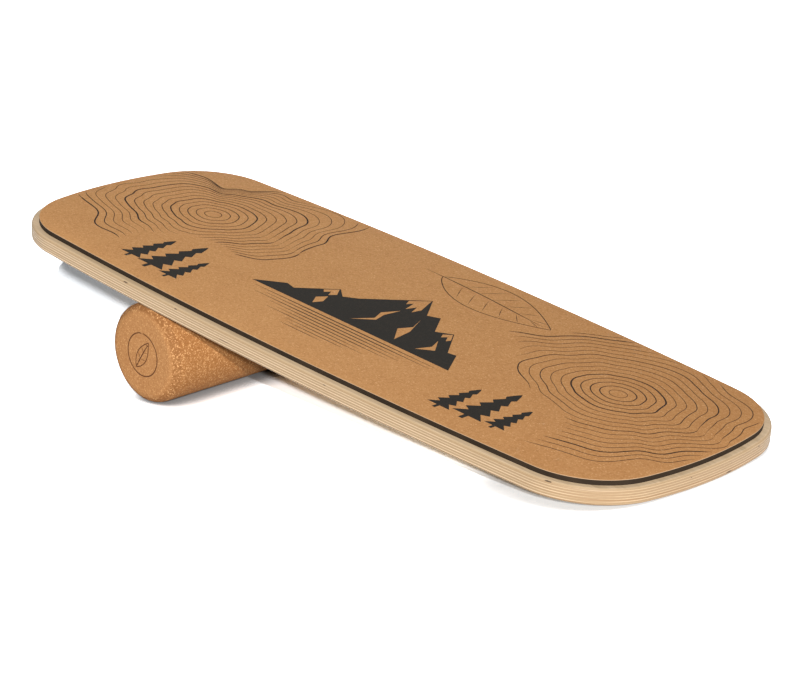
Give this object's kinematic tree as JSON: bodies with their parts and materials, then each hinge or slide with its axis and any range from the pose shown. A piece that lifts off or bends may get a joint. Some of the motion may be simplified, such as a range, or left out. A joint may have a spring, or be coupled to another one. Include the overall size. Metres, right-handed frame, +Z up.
{
  "type": "rola bola balance board",
  "caption": "Long rounded plywood balance board with a cork standing surface on a black foam underlay, leaning on a solid cork roller.",
  "frame": {"origin": "middle of the footprint on the floor, with the board leaning on its roller and its +X end on the floor", "axes": "+X along the board's length towards the end that is down, +Y across the board and along the roller, +Z up"},
  "size_m": [0.7898, 0.2998, 0.1557],
  "materials": {
    "birch_face": "satin",
    "birch_long_grain": "satin",
    "birch_cross_grain": "satin",
    "black_foam": "matte",
    "deck_cork": "matte",
    "roller_cork": "matte",
    "stopper_beech": "satin",
    "zinc_screw": "satin"
  },
  "bodies": {
    "deck": {"face_veneer_bottom": "birch_face", "cross_veneer_1": "birch_cross_grain", "core_veneer_1": "birch_long_grain", "cross_veneer_2": "birch_cross_grain", "core_veneer_2": "birch_long_grain", "cross_veneer_3": "birch_cross_grain", "core_veneer_3": "birch_long_grain", "cross_veneer_4": "birch_cross_grain", "core_veneer_4": "birch_long_grain", "cross_veneer_5": "birch_cross_grain", "core_veneer_5": "birch_long_grain", "cross_veneer_6": "birch_cross_grain", "face_veneer_top": "birch_face", "foam_underlay": "black_foam", "cork_deck_sheet": "deck_cork", "stopper_left": "stopper_beech", "stopper_screws_left": "zinc_screw", "stopper_right": "stopper_beech", "stopper_screws_right": "zinc_screw"},
    "roller": {"cork_roller": "roller_cork"}
  },
  "joints": [
    {"name": "roller_travel", "type": "slide", "parent": "deck", "child": "roller", "axis": [0.9852, 0, -0.1715], "range_m": [-0.0893, 0.4093]}
  ]
}
